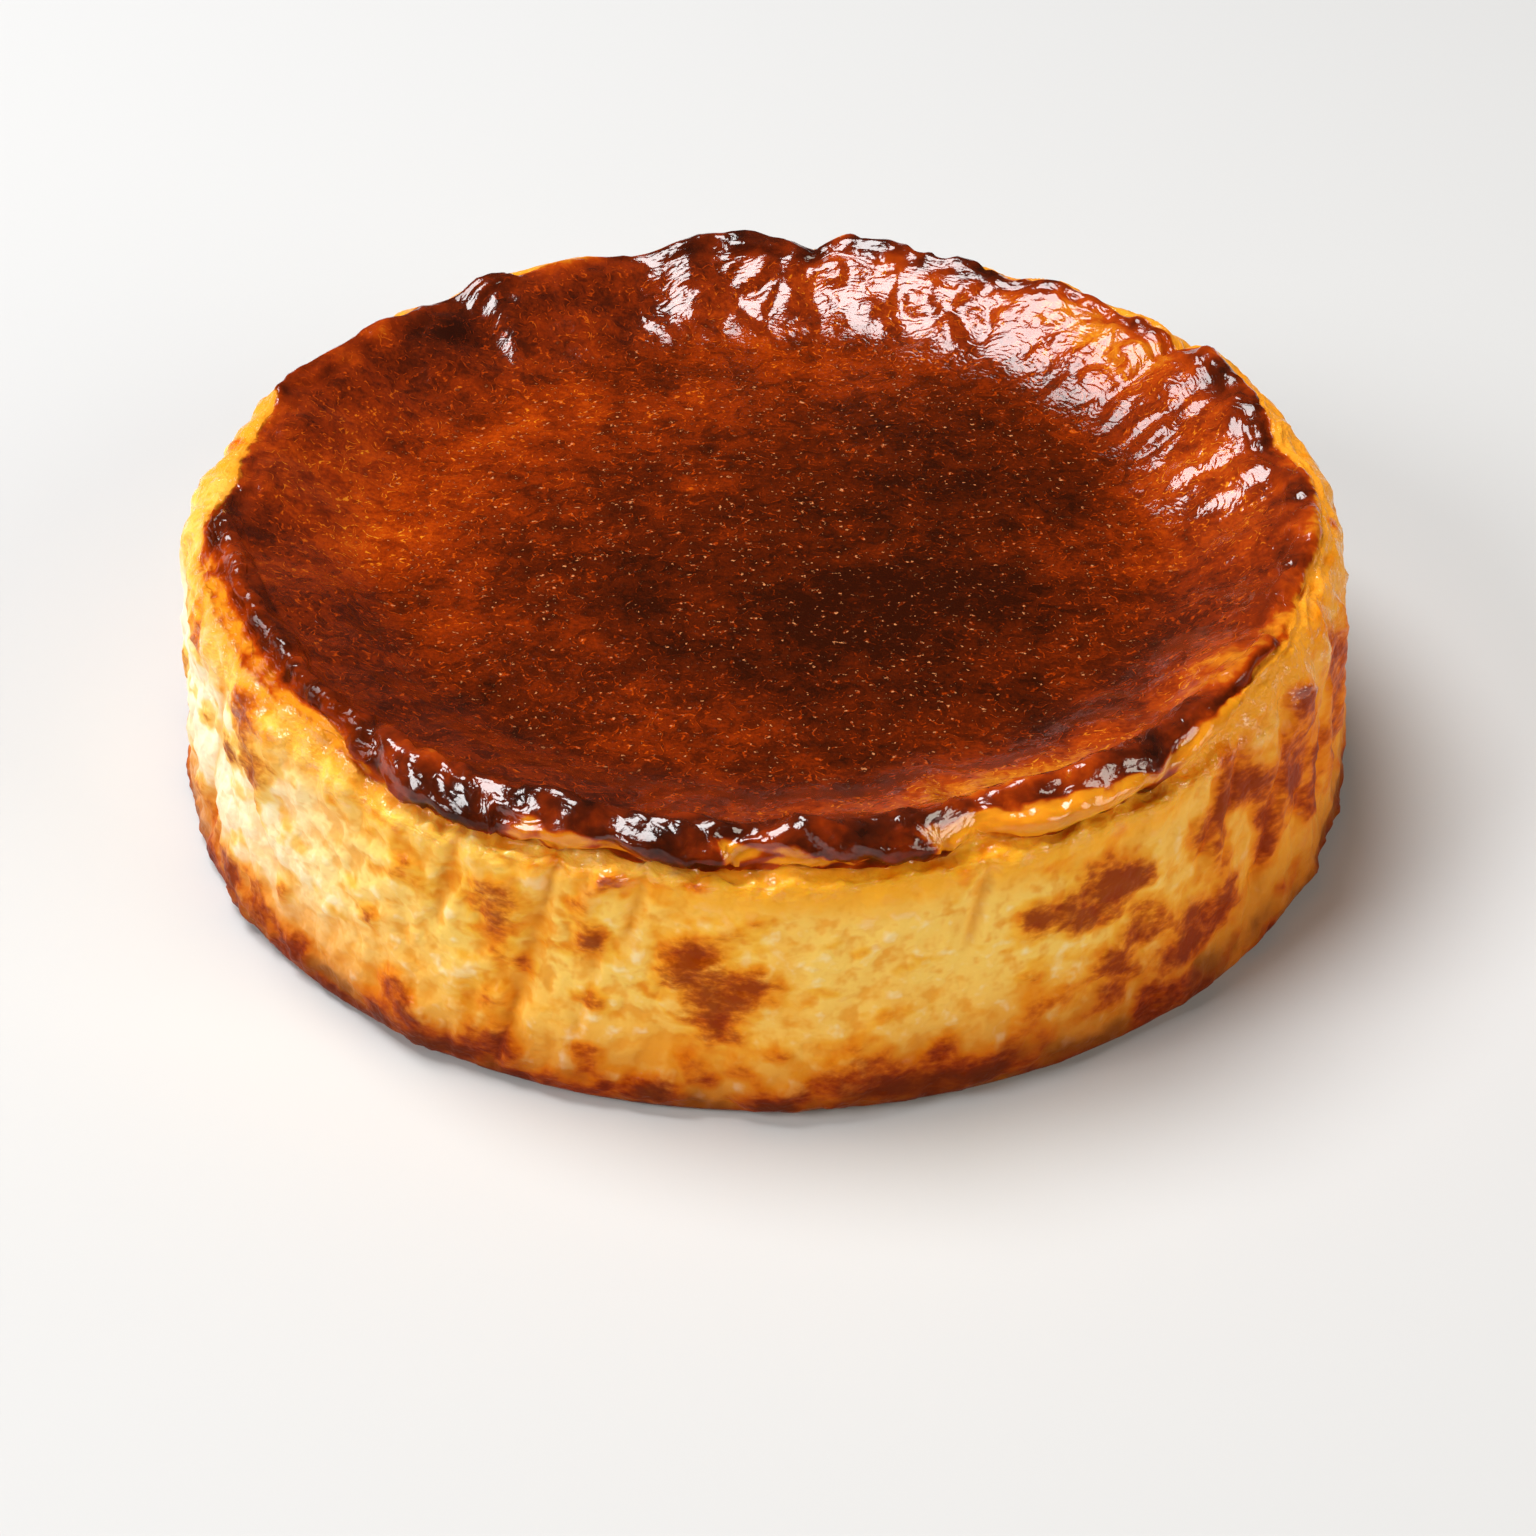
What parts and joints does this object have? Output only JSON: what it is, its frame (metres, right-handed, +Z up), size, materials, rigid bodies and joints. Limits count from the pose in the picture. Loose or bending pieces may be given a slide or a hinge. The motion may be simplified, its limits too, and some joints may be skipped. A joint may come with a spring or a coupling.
{
  "type": "basque cheesecake",
  "caption": "Whole round burnt cheesecake with a sunken caramelised top, a rolled and folded crust rim and a pale creased side wall.",
  "frame": {"origin": "middle of the flat underside", "axes": "+Z up through the middle of the cake, -Y towards the side that the picture shows"},
  "size_m": [0.2302, 0.2302, 0.0579],
  "materials": {
    "baked_custard": "satin"
  },
  "bodies": {
    "root": {"cheesecake": "baked_custard"}
  },
  "joints": []
}
